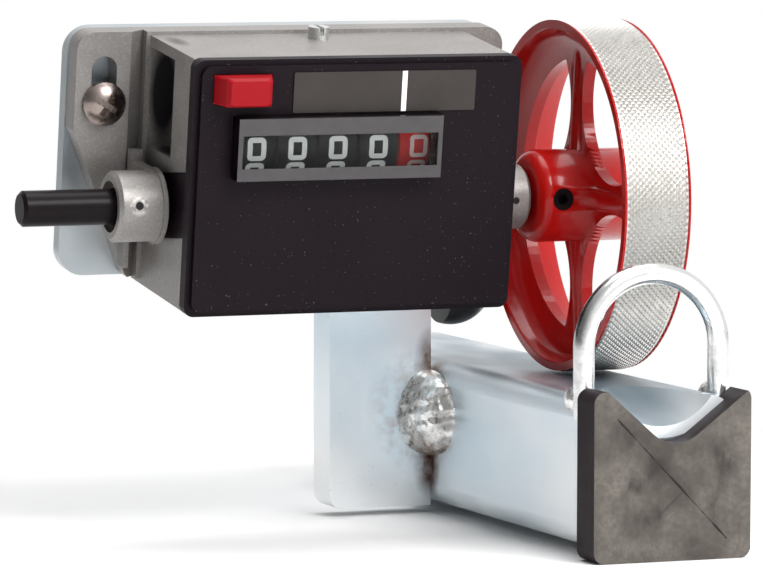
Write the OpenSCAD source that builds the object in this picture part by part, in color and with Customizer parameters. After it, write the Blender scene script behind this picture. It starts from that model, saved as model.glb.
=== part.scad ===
// Cable length counter: a five-figure counter with a measuring wheel on its shaft.
// The counter swings on a welded stand, so that the wheel runs on a cable that is
// drawn through the wire bow and over the top of the cross tube.
// Frame: +X along the wheel axle towards the wheel, +Y away from the reader, +Z up.
// Origin: underside of the cross tube, on its centre line, straight below the axle.

/* [Measuring wheel] */
// Diameter over the knurled tread, for 300 mm of cable a turn
wheel_d = 95.5; // [90:0.5:100]
// Width of the tread
wheel_w = 19; // [16:0.5:22]
// Distance of the wheel's middle plane from the tube's middle plane
wheel_x = 8.1; // [6:0.1:10]
// Thickness of the knurled ring
tread_t = 1.2; // [0.8:0.1:1.4]
// Height of the rim's side face, from the tread inwards
rim_face = 3.4; // [3:0.2:5]
// Inner diameter of the ring that the spokes run into
ring_d = 74; // [70:1:76]
// Diameter of the hub
hub_d = 25; // [24:0.5:28]
// Reach of the hub from the wheel's middle plane towards the counter
hub_left = 18.3; // [16:0.1:18.5]
// Rounding of the hub's end
hub_r = 3.5; // [2:0.5:5]
// Thickness of the spokes' web
spoke_t = 3.2; // [2.5:0.1:5]
// Width of a spoke at its narrowest
spoke_w = 7.8; // [6:0.2:10]
// Radius at which a spoke is narrowest
spoke_waist_r = 25; // [24:0.5:27]
// Number of spokes
spokes = 4; // [4]
// Diameter of the hub's grub screw
grub_d = 6; // [4:1:6]
// Turn of the grub screw above the horizontal, in degrees
grub_angle = 7; // [0:1:20]

/* [Drive shaft] */
// Diameter of the shaft's free end
shaft_d = 9.5; // [9:0.1:10]
// Diameter of the shaft in its bearings and in the hub
journal_d = 10; // [10:0.1:11]
// Free length of the shaft beyond the left boss
shaft_free = 24.7; // [15:0.5:35]
// Wall of the bearing bushes
bush_t = 1.8; // [1.5:0.1:2.2]
// Diameter of the left bearing boss
boss_d = 18.8; // [17.5:0.1:20]
// Diameter of the right bearing boss
boss_right_d = 17.4; // [16.5:0.1:18.5]

/* [Counter housing] */
// Width of the die-cast body
body_w = 89; // [89:0.5:92]
// Height of the body
body_h = 67; // [67:0.5:70]
// Wall of the body
body_wall = 3; // [2.5:0.1:3.5]
// Distance of the shaft from the body's underside
axle_up = 24.6; // [24:0.1:26]
// Distance of the shaft from the mounting plate
axle_back = 23; // [22.8:0.1:24]
// Distance of the shaft from the body's front edge
axle_front = 18.5; // [18.5:0.1:19.5]
// Gap along the axle between the body and the wheel's tread
wheel_side_gap = 22.6; // [21:0.1:24]
// Thickness of the mounting flange
flange_t = 7; // [5:0.5:8]
// Rise of the flange above the body's top face
flange_rise = 1; // [0.5:0.1:2]
// Length of the left foot
foot_left = 20.4; // [20:0.1:23]
// Length of the right foot
foot_right = 11.8; // [11.7:0.1:12.5]
// Corner radius of the feet
foot_r = 5; // [3:0.5:6]
// Reach of the left bearing boss from the body's side
boss_left = 15.2; // [14:0.1:17]
// Reach of the right bearing boss from the body's side
boss_right = 12.7; // [12:0.1:13]
// Gap between a boss and the body's side
boss_gap = 2.2; // [1.5:0.1:3]
// Thickness of the webs that carry the bosses
web_t = 3.2; // [2.4:0.1:4]
// Width of the shaft slots in the body's sides
side_slot_w = 17.3; // [16:0.1:18]
// Slope of the shaft slots, in degrees
side_slot_tilt = 11.75; // [8:0.25:14]
// Depth of the pocket in the body's left side
pocket_depth = 7; // [5:0.5:8]

/* [Feet and their screws] */
// Diameter of the foot screws
screw_d = 6; // [5:0.5:6]
// Width of the slots in the feet
slot_w = 7; // [6.5:0.1:7.5]
// Length of the slots over their ends
slot_l = 17.5; // [15:0.5:19]
// Height of the slots' middle above the shaft
slot_z = 28.2; // [27:0.2:30]
// Height of the foot screws above the shaft
screw_z = 24.4; // [23.5:0.1:27]
// Distance of the left slot from the body's side
slot_left = 12.6; // [12.4:0.1:14]
// Distance of the right slot from the body's side
slot_right = 6; // [5.95:0.05:6.2]

/* [Front cover] */
// Overhang of the cover beyond the body's sides
cover_side = 1.25; // [1:0.05:2]
// Overhang of the cover above and below the body
cover_top = 0.5; // [0.3:0.05:1]
// Depth of the cover in front of the body
cover_t = 5.3; // [5:0.1:6]
// Wall of the cover
cover_wall = 2; // [1.6:0.1:2.2]
// Corner radius of the cover
cover_r = 2.7; // [2:0.1:4]
// Width of the step round the cover's face
cover_step = 1.5; // [1:0.1:2]

/* [Window and label] */
// Projection of the window in front of the cover
window_out = 4.4; // [3.5:0.1:6]
// Wall of the window
window_wall = 1.3; // [1:0.1:1.6]
// Distance of the window's middle from the body's left side, as a share of the body's width
window_x = 0.426; // [0.42:0.001:0.44]
// Width of the label strip, as a share of the body's width
label_w = 0.573; // [0.5:0.001:0.6]
// Distance of the label's middle from the body's left side, as a share of the body's width
label_x = 0.573; // [0.55:0.001:0.58]
// Thickness of the label strip
label_t = 0.4; // [0.2:0.1:0.8]

/* [Number wheels] */
// Gap between two wheels
drum_gap = 0.8; // [0.7:0.1:1]
// Number of wheels
drum_count = 5; // [5]
// Room between the body's left side and the wheels
drums_left = 12.2; // [12:0.1:12.8]
// Room between the wheels and the body's right side
drums_right = 20; // [19.8:0.1:20.5]
// Distance of the wheels' axle in front of the shaft
drums_front = 8.3; // [8:0.1:8.4]
// Diameter of the wheels' axle
drum_axle_d = 4; // [3:0.5:4]

/* [Gear train] */
// Module of the gears
gear_m = 0.4; // [0.4]
// Teeth on the shaft gear
teeth_shaft = 36; // [36]
// Teeth on the large idler gear
teeth_idler_in = 48; // [48]
// Teeth on the small idler gear
teeth_idler_out = 24; // [24]
// Teeth on the gear of the first number wheel
teeth_drum = 60; // [60]
// Width of the gears
gear_w = 2.4; // [2:0.1:2.6]

/* [Reset button] */
// Width of the button's face
button_w = 11.9; // [11:0.1:12.5]
// Projection of the button in front of the cover
button_out = 6; // [5:0.1:7]
// Widening of the button on each side, from its face to its foot
button_draft = 2; // [1:0.1:2.4]
// Distance of the button's middle from the body's left side
button_x = 11.5; // [11:0.1:12]
// Distance of the button's middle below the body's top
button_down = 7; // [6.8:0.1:7.2]

/* [Mounting plate and hinge] */
// Thickness of the plate
plate_t = 4.5; // [4:0.1:5]
// Corner radius of the plate
plate_r = 7; // [5:0.5:9]
// Lean of the counter towards the front, with the wheel on the tube, in degrees
lean = 8.3; // [7:0.1:9]
// Distance of the pivot behind the axle, along the tube
pivot_back = 47.5; // [47:0.1:49]
// Distance of the pivot below the axle
pivot_drop = 26.9; // [26:0.1:27.5]
// Diameter of the pivot bolt
bolt_d = 6; // [5:1:6]
// Thickness of the hinge ears
ear_t = 3; // [2.5:0.1:3]
// Radius of the hinge ears round the pivot
ear_r = 6.4; // [6:0.1:7]
// Diameter of the ball knob
knob_d = 23.4; // [22:0.2:24]
// Distance of the ball's centre from its flat
knob_seat = 3.6; // [3:0.1:3.8]

/* [Stand] */
// Side of the square cross tube
tube_w = 40; // [38:0.5:42]
// Wall of the cross tube
tube_t = 3; // [2.5:0.1:3.5]
// Outer corner radius of the cross tube
tube_r = 6; // [5:0.5:7]
// Reach of the tube in front of the axle
tube_front = 68; // [66:1:75]
// Reach of the tube behind the axle
tube_back = 122; // [100:1:140]
// Gap between the wheel and the tube
wheel_gap = 0.3; // [0.3:0.1:1]
// Depth of the cable dish at the tube's front end
dish_depth = 7.2; // [6:0.2:8]
// Radius of the cable dish
dish_r = 17.2; // [16:0.2:18]
// Length over which the dish runs out
dish_l = 26; // [20:1:30]
// Width of the upright bar
upright_w = 30; // [28:0.5:32]
// Thickness of the upright bar
upright_t = 12; // [10:0.5:12.5]
// Corner radius at the upright's foot
upright_r = 4; // [2:0.5:6]
// Height of the frame weld's middle
weld_z = 26.4; // [20:0.2:30]

/* [Cable bow] */
// Diameter of the bow's rod
rod_d = 5.6; // [5:0.1:6]
// Width over the bow's legs
bow_w = 44; // [42:0.5:45]
// Height of the bow above the tube
bow_h = 34.3; // [30:0.1:40]
// Distance of the bow in front of the axle
bow_front = 61; // [60:0.1:61]

/* [End cap] */
// Depth of the cap over all
cap_d = 11; // [9:0.5:13]
// Thickness of the cap's end wall
cap_end = 6.9; // [5:0.1:7]
// Wall of the cap round the tube
cap_wall = 2.3; // [2:0.1:2.5]
// Corner radius of the cap
cap_r = 3; // [2:0.5:4]
// Depth of the cable notch below the tube's top
notch_depth = 11.5; // [11:0.1:13]
// Radius of the notch's bottom
notch_r = 10; // [8:0.5:11]
// Slope of the notch's left flank, in degrees
notch_slope = 41.5; // [40:0.5:44]
// Slope of the notch's right flank, in degrees
notch_slope_right = 37; // [36:0.5:40]

/* [Hidden] */
$fn = 96;

// Clearances
eps = 0.01;
run = 0.05;      // radial, on running fits
seat = 0.02;     // radial, on seated pins and bushes
lap = 0.1;       // between flat faces that don't run
air = 0.3;       // between pieces that must not touch

// Stand
axle_z = tube_w + wheel_gap + wheel_d / 2;
tube_side = tube_w / 2;
upright_y = pivot_back - upright_t / 2;
pivot_z = axle_z - pivot_drop;
upright_top_r = upright_t / 2;
dish_tilt = atan(dish_depth / dish_l);
cap_seat = 0.2;
cap_seat_end = -tube_front - cap_end + cap_d + 0.4;

// Counter, in the leaning frame whose origin is the axle above the tube's middle plane
body_right = wheel_x - wheel_w / 2 - wheel_side_gap;
body_left = body_right - body_w;
body_mid = (body_left + body_right) / 2;
body_top = body_h - axle_up;
flange_y = axle_back - flange_t;
flange_top = body_top + flange_rise;
back_wall = 2;
boss_left_end = body_left - boss_left;
boss_right_end = body_right + boss_right;
shaft_end = boss_left_end - shaft_free;
bush_d = journal_d + 2 * bush_t;
hub_end = wheel_x - hub_left;
grub_x = hub_end + 6.4;
foot_left_end = body_left - foot_left;
foot_right_end = body_right + foot_right;
slot_left_x = body_left - slot_left;
slot_right_x = body_right + slot_right;
slot_half = side_slot_w / 2;
slot_end = journal_d / 2;

// Cover
cover_back = -axle_front - lap;
cover_y = -axle_front - cover_t;
cover_w = body_w + 2 * cover_side;
cover_h = body_h + 2 * cover_top;
cover_z0 = -axle_up - cover_top;
window_mid = body_left + window_x * body_w;
window_z = 0.475 * body_top;
window_h = 0.391 * body_top;
label_mid = body_left + label_x * body_w;
label_z = 0.809 * body_top;
label_h = 0.252 * body_top;
button_mid = body_left + button_x;
button_z = body_top - button_down;
button_h = 0.18 * body_top;

// Number wheels
drum_pitch = (body_w - drums_left - drums_right) / drum_count;
drum_w = drum_pitch - drum_gap;
drum_mid = body_left + drums_left + drum_count * drum_pitch / 2;
drum_d = 0.519 * body_top;
drum_y = -drums_front;
drum_z = 0.4365 * body_top;
window_w = drum_count * drum_pitch + 0.2;
plate_gap_t = 0.4;
tie_y = drum_y + drum_d / 2 + 5.5;
tie_z = drum_z + 9;
tie_d = 2.5;
pinion_m = drum_d / 40;
pinion_teeth = 8;
ring_teeth = 32;
pinion_r = pinion_m * (ring_teeth - pinion_teeth) / 2;
pinion_w = 2.8;

// Frame plates inside the body
frame_t = 1.5;
pocket_wall = 1.5;
frame_x0 = body_left + pocket_depth + pocket_wall + lap;
frame_x1 = body_right - body_wall - lap;
frame_top = body_top - body_wall - 0.5;
comb_back = -8;
comb_t = 2.5;
button_travel = 3;
pocket_y = comb_back + button_travel + air + pocket_wall;

// Gear train: the idler meshes with the shaft gear and with the first number wheel's gear
d_shaft_idler = gear_m * (teeth_shaft + teeth_idler_in) / 2;
d_idler_drum = gear_m * (teeth_idler_out + teeth_drum) / 2;
d_shaft_drum = norm([drum_y, drum_z]);
along = (pow(d_shaft_idler, 2) - pow(d_idler_drum, 2) + pow(d_shaft_drum, 2)) / (2 * d_shaft_drum);
across = sqrt(pow(d_shaft_idler, 2) - pow(along, 2));
idler_y = (along * drum_y + across * drum_z) / d_shaft_drum;
idler_z = (along * drum_z - across * drum_y) / d_shaft_drum;
gear_out_x = body_right - drums_right + 1.2;
gear_in_x = gear_out_x + gear_w + 1.2;
idler_axle_d = 3;

// Hinge, in the leaning frame
hinge_y = pivot_back * cos(lean) - pivot_drop * sin(lean);
hinge_z = -pivot_back * sin(lean) - pivot_drop * cos(lean);
plate_back = axle_back + plate_t;
plate_top = flange_top;
plate_h = body_h;
plate_left = foot_left_end - 0.3;
plate_right = foot_right_end - 0.5;
ear_gap = 0.4;
ear_right = -tube_side + ear_gap;
ear_left = -tube_side - upright_w - ear_gap;
washer_t = 1.2;
bolt_head_t = 4;
knob_flat = ear_right + ear_t + washer_t;
knob_x = knob_flat + knob_seat;

// ---------- helpers ----------

// The two ends of a stretch about a middle
function span(mid, half) = [mid - half, mid + half];

// A flat outline in X and Z, made solid from y0 to y1
module along_y(y0, y1) {
    translate([0, y1, 0]) rotate([90, 0, 0]) linear_extrude(y1 - y0) children();
}

// A flat outline in Y and Z, made solid from x0 to x1
module along_x(x0, x1) {
    translate([x0, 0, 0]) rotate([90, 0, 90]) linear_extrude(x1 - x0) children();
}

module block(x, y, z) {
    translate([x[0], y[0], z[0]]) cube([x[1] - x[0], y[1] - y[0], z[1] - z[0]]);
}

module rod_x(x0, x1, r, y = 0, z = 0) {
    translate([x0, y, z]) rotate([0, 90, 0]) cylinder(h = x1 - x0, r = r);
}

module rod_y(y0, y1, r, x = 0, z = 0) {
    translate([x, y1, z]) rotate([90, 0, 0]) cylinder(h = y1 - y0, r = r);
}

// Rectangle from lo to hi with round corners
module round_rect(lo, hi, r) {
    translate([lo[0] + r, lo[1]]) square([hi[0] - lo[0] - 2 * r, hi[1] - lo[1]]);
    translate([lo[0], lo[1] + r]) square([hi[0] - lo[0], hi[1] - lo[1] - 2 * r]);
    for (x = [lo[0] + r, hi[0] - r], z = [lo[1] + r, hi[1] - r]) translate([x, z]) circle(r);
}

// Upright slot with round ends
module slot(w, l) {
    square([w, l - w], center = true);
    for (s = [-1, 1]) translate([0, s * (l - w) / 2]) circle(w / 2);
}

// Places what is drawn in the leaning frame of the counter
module counter_place() {
    translate([0, 0, axle_z]) rotate([lean, 0, 0]) children();
}

// Point of an involute from a base circle of radius rb, at radius r
function involute(rb, r) = sqrt(pow(r / rb, 2) - 1) * 180 / PI - acos(rb / r);

// Spur gear outline with involute flanks, and half a backlash off each flank
module gear_outline(m, teeth, backlash = 0.1, up = 0.9, down = 1.2) {
    rp = m * teeth / 2;
    rb = rp * cos(20);
    rt = rp + up * m;
    rf = rp - down * m;
    half = 90 / teeth - backlash * 90 / (PI * rp) + involute(rb, rp);
    flank = [for (i = [0 : 3]) let (r = max(rb, rf) + 0.001 + (rt - max(rb, rf)) * i / 3)
             [r, half - involute(rb, r)]];
    tooth = concat([[rf, half]], flank);
    polygon([for (k = [0 : teeth - 1]) let (a = k * 360 / teeth)
             each concat([for (p = tooth) p[0] * [cos(a - p[1]), sin(a - p[1])]],
                         [for (i = [len(tooth) - 1 : -1 : 0]) let (p = tooth[i])
                          p[0] * [cos(a + p[1]), sin(a + p[1])]])]);
}

// ---------- stand ----------

module upright_bar() {
    color("lightsteelblue")
    difference() {
        intersection() {
            union() {
                along_x(-tube_side - upright_w, -tube_side) {
                    translate([upright_y, 0]) square([upright_t, pivot_z]);
                    translate([pivot_back, pivot_z]) circle(upright_top_r);
                }
            }
            along_y(upright_y - 1, upright_y + upright_t + 1) {
                translate([-tube_side - upright_w, upright_r])
                    square([upright_w, pivot_z + upright_top_r]);
                translate([-tube_side - upright_w + upright_r, 0])
                    square([upright_w - upright_r, upright_r + 1]);
                translate([-tube_side - upright_w + upright_r, upright_r]) circle(upright_r);
            }
        }
        rod_x(-tube_side - upright_w - 1, -tube_side + 1, bolt_d / 2 + run, pivot_back, pivot_z);
    }
}

module tube_outline(grow = 0) {
    round_rect([-tube_side - grow, -grow], [tube_side + grow, tube_w + grow], tube_r + grow);
}

// Tilted cylinder that presses the dish into the tube's top wall
module dish_tool(r) {
    translate([0, -tube_front, tube_w - dish_depth + dish_r])
        rotate([dish_tilt - 90, 0, 0])
            translate([0, 0, -dish_l]) cylinder(h = 3 * dish_l, r = r);
}

module cross_tube() {
    color("lightsteelblue") {
        difference() {
            along_y(-tube_front, tube_back) tube_outline();
            along_y(-tube_front - 1, tube_back + 1)
                round_rect([-tube_side + tube_t, tube_t], [tube_side - tube_t, tube_w - tube_t],
                           tube_r - tube_t);
            dish_tool(dish_r);
            difference() {
                along_y(-tube_front - 1, cap_seat_end) tube_outline(1);
                along_y(-tube_front - 2, cap_seat_end + 1) tube_outline(-cap_seat);
            }
        }
        intersection() {
            difference() {
                dish_tool(dish_r + tube_t);
                dish_tool(dish_r);
            }
            along_y(-tube_front, tube_back) tube_outline(-cap_seat);
            block([-tube_side, tube_side], [-tube_front, 0], [tube_w / 2, tube_w]);
        }
    }
}

// Weld run in the corner between the upright's face and the tube's side
module frame_weld() {
    r = 0.19 * tube_w;
    color("silver")
    intersection() {
        for (k = [-1, 0, 1])
            translate([-tube_side - 0.2 * r, upright_y - 0.05 * r, weld_z + 0.62 * r * k])
                sphere(r = r * (1 - 0.17 * abs(k)));
        block([-tube_side - upright_w, -tube_side], [0, upright_y], [0, tube_w]);
    }
}

// V notch with a wide round bottom
module notch_outline() {
    middle = tube_w - notch_depth + notch_r;
    reach = tube_w;
    left = [-cos(notch_slope), sin(notch_slope)];
    right = [cos(notch_slope_right), sin(notch_slope_right)];
    foot_l = [-notch_r * sin(notch_slope), middle - notch_r * cos(notch_slope)];
    foot_r = [notch_r * sin(notch_slope_right), middle - notch_r * cos(notch_slope_right)];
    translate([1, 0]) {
        translate([0, middle]) circle(notch_r);
        polygon([foot_l + reach * left, foot_l, foot_r, foot_r + reach * right]);
    }
}

module front_end_cap() {
    end_y = -tube_front - cap_end - lap;
    color("dimgray")
    difference() {
        along_y(end_y, end_y + cap_d)
            round_rect([-tube_side - cap_wall, -cap_wall],
                       [tube_side + cap_wall, tube_w + cap_wall], cap_r);
        along_y(end_y + cap_end, end_y + cap_d + 1) tube_outline(seat - cap_seat);
        along_y(end_y - 1, end_y + cap_d + 1) notch_outline();
    }
}

// Inverted U of round rod, its feet hugging the tube's rounded corners
module bow_solid() {
    leg = (bow_w - rod_d) / 2;
    arch_z = tube_w + bow_h - rod_d / 2 - leg;
    translate([0, -bow_front, arch_z]) rotate([90, 0, 0])
        rotate_extrude(angle = 180) translate([leg, 0]) circle(rod_d / 2, $fn = 48);
    for (s = [-1, 1])
        translate([s * leg, -bow_front, tube_w - tube_r])
            cylinder(h = arch_z - tube_w + tube_r, d = rod_d, $fn = 48);
}

module cable_bow() {
    color("silver")
    difference() {
        bow_solid();
        along_y(-tube_front, tube_back) tube_outline();
    }
}

module bow_welds() {
    leg = (bow_w - rod_d) / 2;
    color("silver")
    for (s = [-1, 1])
        difference() {
            translate([s * leg, -bow_front + 0.7 * rod_d, tube_w - 0.2 * rod_d]) sphere(r = 0.65 * rod_d);
            bow_solid();
            along_y(-tube_front, tube_back) tube_outline();
            block([-tube_w, tube_w], [-tube_front, -bow_front], [0, 2 * tube_w]);
        }
}

// ---------- mounting plate and hinge ----------

module mounting_plate() {
    color("lightsteelblue") counter_place()
    along_y(axle_back, plate_back)
        difference() {
            round_rect([plate_left, plate_top - plate_h], [plate_right, plate_top], plate_r);
            for (x = [slot_left_x, slot_right_x]) translate([x, screw_z]) circle(screw_d / 2 + seat);
        }
}

// Back strap with two ears that reach down beside the upright
module hinge_bracket() {
    strap_t = 3;
    strap_h = 26;
    strap_z = plate_top - plate_h + 2;
    color("lightsteelblue") counter_place()
    difference() {
        union() {
            along_y(plate_back, plate_back + strap_t)
                translate([ear_left - ear_t, strap_z])
                    square([ear_right - ear_left + 2 * ear_t, strap_h]);
            for (x = [ear_left - ear_t, ear_right])
                along_x(x, x + ear_t) {
                    translate([hinge_y, hinge_z]) circle(ear_r);
                    polygon([[plate_back, strap_z], [plate_back, strap_z + strap_h],
                             [plate_back + strap_t, strap_z + strap_h],
                             [hinge_y + ear_r * cos(25), hinge_z + ear_r * sin(25)],
                             [hinge_y - ear_r * cos(40), hinge_z - ear_r * sin(40)]]);
                }
        }
        rod_x(ear_left - ear_t - 1, ear_right + ear_t + 1, bolt_d / 2 + seat, hinge_y, hinge_z);
    }
}

module pivot_bolt() {
    head_x = ear_left - ear_t - washer_t;
    color("silver") counter_place() translate([0, hinge_y, hinge_z]) {
        rod_x(head_x, knob_flat + 8, bolt_d / 2);
        translate([head_x - bolt_head_t, 0, 0]) rotate([0, 90, 0])
            cylinder(h = bolt_head_t, d = 1.8 * bolt_d, $fn = 6);
    }
}

module pivot_washers() {
    color("silver") counter_place() translate([0, hinge_y, hinge_z])
    for (x = [ear_left - ear_t - washer_t, ear_right + ear_t])
        difference() {
            rod_x(x, x + washer_t, bolt_d);
            rod_x(x - 1, x + washer_t + 1, bolt_d / 2 + seat);
        }
}

// Ball knob with a flat where it bears on the washer
module pivot_knob() {
    r = knob_d / 2;
    color("black") counter_place() translate([knob_flat, hinge_y, hinge_z]) rotate([0, 90, 0])
    rotate_extrude()
        difference() {
            intersection() {
                translate([0, knob_seat]) circle(r);
                square([r, knob_seat + r]);
            }
            translate([-1, -1]) square([1 + bolt_d / 2 + seat, 10]);
        }
}

// ---------- counter housing ----------

// Outline of a foot, slanting in below the slot; s is -1 on the left and 1 on the right
module foot_outline(s, inner, outer) {
    bend_z = 17;
    low_z = -axle_up + 1.3;
    top = flange_top;
    x = min(inner, outer);
    w = abs(outer - inner);
    narrow = outer - s * min(16.2, w - 3);
    polygon([[inner, top], [outer - s * foot_r, top], [outer, top - foot_r], [outer, bend_z],
             [narrow, low_z + 1.2], [narrow - s * 1.2, low_z], [inner, low_z]]);
    translate([outer - s * foot_r, top - foot_r]) circle(foot_r);
}

// Slot that runs from the body's front edge to just behind the shaft, rising to the front
module side_slot_outline(slack, front) {
    rotate([0, 0, -side_slot_tilt])
        translate([-front, -slot_half - slack])
            square([front + slot_end + slack, 2 * slot_half + 2 * slack]);
}

// Web from the foot to the boss, with a rounded shoulder above and below
module web_outline(r) {
    translate([0, -r]) square([flange_y + 1, 2 * r]);
    translate([flange_y - 4, -r - 3]) square([5, 2 * r + 6]);
    circle(r);
}

// Bearing boss on its web; s is -1 on the left and 1 on the right, side is the body's side
module bearing(s, side, reach, d) {
    r = d / 2;
    near = side + s * boss_gap;
    far = side + s * reach;
    web_far = near + s * web_t;
    along_x(min(near, web_far), max(near, web_far)) web_outline(r);
    rod_x(min(near, near + s * 1.2), max(near, near + s * 1.2), r + 0.7);
    rod_x(min(near, far - s), max(near, far - s), r);
    translate([far - s, 0, 0]) rotate([0, s * 90, 0]) cylinder(h = 1, r1 = r, r2 = r - 1);
}

// Pocket cast into the left side, between the foot and the front
module pocket(grow) {
    block([body_left - 1 - grow, body_left + pocket_depth + grow],
          [pocket_y - grow, flange_y - 1 + grow],
          [0.31 * body_top - grow, body_top - 3 + grow]);
}

module counter_body() {
    x0 = body_left;
    x1 = body_right;
    low = -axle_up + 1.3;
    color("darkgray") counter_place()
    difference() {
        union() {
            difference() {
                block([x0, x1], [-axle_front, axle_back], [-axle_up, body_top]);
                block([x0 + body_wall, x1 - body_wall], [-axle_front - 1, axle_back - back_wall],
                      [-axle_up + body_wall, body_top - body_wall]);
            }
            intersection() {
                pocket(pocket_wall);
                block([x0, x1], [-axle_front, axle_back], [-axle_up, body_top]);
            }
            along_y(flange_y, axle_back) {
                translate([x0 - 1, body_top - 6]) square([1, 6 + flange_rise]);
                translate([x0 - 1, body_top - eps]) square([body_w + 2, flange_rise + eps]);
                translate([x1, body_top - 6]) square([1, 6 + flange_rise]);
                difference() {
                    foot_outline(-1, x0 - eps, foot_left_end);
                    translate([x0, -axle_up]) square([body_w, body_h + 5]);
                }
                foot_outline(1, x1 - eps, foot_right_end);
            }
            bearing(-1, x0, boss_left, boss_d);
            bearing(1, x1, boss_right, boss_right_d);
            along_y(flange_y - 4.5, flange_y + 1)
                translate([foot_left_end + 0.69 * foot_left, low + 4]) square([1.2, 9]);
        }
        pocket(0);
        translate([x0, flange_y, -axle_up - 1]) linear_extrude(body_h + 5)
            polygon([[-5.4, -1], [-5.4, 0], [-1.2, 3.2], [-1.2, -1]]);
        for (x = [x0, x1 - body_wall])
            along_x(x - 1, x + body_wall + 1) side_slot_outline(0, axle_front + 8);
        rod_x(boss_left_end - 1, x0 - boss_gap + 1, bush_d / 2 + seat);
        rod_x(x1 + boss_gap - 1, boss_right_end + 1, bush_d / 2 + seat);
        along_y(flange_y - 1, axle_back + 1) {
            translate([slot_left_x, slot_z]) slot(slot_w, slot_l);
            translate([slot_right_x, slot_z]) slot(slot_w, slot_l);
        }
        translate([body_mid, 9, body_top - body_wall - 1]) cylinder(h = body_wall + 2, d = 4 + 2 * seat);
    }
}

// Moulded cover: stepped face, window and button openings, and a forked tongue down each side
module front_cover() {
    x0 = body_mid - cover_w / 2;
    x1 = body_mid + cover_w / 2;
    z0 = cover_z0;
    z1 = cover_z0 + cover_h;
    s = cover_step;
    foot_w = button_w + 2 * button_draft;
    color("#26242a") counter_place() {
        difference() {
            union() {
                along_y(cover_y + s, cover_back) round_rect([x0, z0], [x1, z1], cover_r);
                along_y(cover_y, cover_y + s)
                    round_rect([x0 + s, z0 + s], [x1 - s, z1 - s], cover_r);
            }
            block([body_left + body_wall, body_right - body_wall], [cover_y + cover_wall, 0],
                  [-axle_up + body_wall, body_top - body_wall]);
            block(span(window_mid, window_w / 2 + lap), [cover_y - 1, cover_y + 1],
                  span(window_z, window_h / 2 + lap));
            block(span(window_mid, window_w / 2 - window_wall), [cover_y - 1, cover_back + 1],
                  span(window_z, window_h / 2 - window_wall));
            block(span(button_mid, foot_w / 2 + 0.2), [cover_y - 1, cover_back + 1],
                  span(button_z, button_h / 2 + 0.2));
        }
        for (x = [body_left, body_right - body_wall])
            difference() {
                along_x(x, x + body_wall) side_slot_outline(-lap, axle_front + 8);
                along_x(x - 1, x + body_wall + 1) {
                    circle(journal_d / 2 + air);
                    translate([0, -journal_d / 2 - air]) square([20, journal_d + 2 * air]);
                    translate([-40 - axle_front - lap - eps, -40]) square([40, 80]);
                }
            }
    }
}

// Clear moulding that stands over the figures, hollow behind
module counter_window() {
    w = window_wall;
    face = cover_y - window_out;
    color([0.75, 0.78, 0.8, 0.5]) counter_place()
    translate([window_mid, 0, window_z])
    difference() {
        along_y(face, cover_y + 1) square([window_w, window_h], center = true);
        along_y(face + w, cover_y + 2) square([window_w - 2 * w, window_h - 2 * w], center = true);
    }
}

module label_strip() {
    color("#5b5550") counter_place()
    along_y(cover_y - label_t, cover_y)
        round_rect([label_mid - label_w * body_w / 2, label_z - label_h / 2],
                   [label_mid + label_w * body_w / 2, label_z + label_h / 2], 0.4);
}

// Pan-head screws with a cross recess, through the slots
module foot_screws() {
    d = screw_d;
    color("silver") counter_place()
    for (x = [slot_left_x, slot_right_x])
        translate([x, flange_y, screw_z]) {
            rod_y(0, flange_t + plate_t + d, d / 2);
            rotate([90, 0, 0]) difference() {
                intersection() {
                    cylinder(h = 0.7 * d, d = 1.95 * d);
                    translate([0, 0, -0.65 * d]) sphere(r = 1.33 * d);
                }
                for (a = [60, 150]) rotate([0, 0, a])
                    translate([-0.5 * d, -0.13 * d, 0.25 * d]) cube([d, 0.26 * d, d]);
            }
        }
}

module foot_nuts() {
    d = screw_d;
    color("silver") counter_place()
    for (x = [slot_left_x, slot_right_x])
        translate([x, plate_back + 0.8 * d, screw_z]) rotate([90, 0, 0])
            difference() {
                cylinder(h = 0.8 * d, d = 1.9 * d, $fn = 6);
                translate([0, 0, -d]) cylinder(h = 3 * d, d = d + 2 * seat);
            }
}

module shaft_bushes() {
    ends = [[boss_left_end + 2.5, body_left - boss_gap], [body_right + boss_gap, boss_right_end - 1.5]];
    color("darkgoldenrod") counter_place()
    for (x = ends)
        difference() {
            rod_x(x[0], x[1], bush_d / 2);
            rod_x(x[0] - 1, x[1] + 1, journal_d / 2 + run);
        }
}

// Slotted screw that holds the mechanism frame under the body's top
module frame_screw() {
    color("silver") counter_place() translate([body_mid, 9, 0])
    difference() {
        union() {
            translate([0, 0, frame_top - frame_t]) cylinder(h = body_top - frame_top + frame_t, d = 4);
            translate([0, 0, body_top]) cylinder(h = 3.1, d = 5.6);
        }
        translate([-0.6, -4, body_top + 1]) cube([1.2, 8, 3]);
    }
}

// ---------- mechanism ----------

module mechanism_frame() {
    color("silver") counter_place()
    difference() {
        union() {
            block([frame_x0, frame_x1], [3, tie_y + 4], [frame_top - frame_t, frame_top]);
            for (x = [frame_x0, frame_x1 - frame_t]) {
                block([x, x + frame_t], [drum_y - 4, tie_y + 4], [-journal_d, drum_z + drum_d / 2]);
                block([x, x + frame_t], [3, tie_y + 4], [0, frame_top]);
            }
        }
        rod_x(frame_x0 - 1, frame_x1 + 1, journal_d / 2 + air);
        rod_x(frame_x0 - 1, frame_x1 + 1, drum_axle_d / 2 + seat, drum_y, drum_z);
        rod_x(frame_x0 - 1, frame_x1 + 1, tie_d / 2 + seat, tie_y, tie_z);
        rod_x(frame_x1 - frame_t - 1, frame_x1 + 1, idler_axle_d / 2 + seat, idler_y, idler_z);
        translate([body_mid, 9, frame_top - 5]) cylinder(h = 10, d = 4 + 2 * seat);
    }
}

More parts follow.
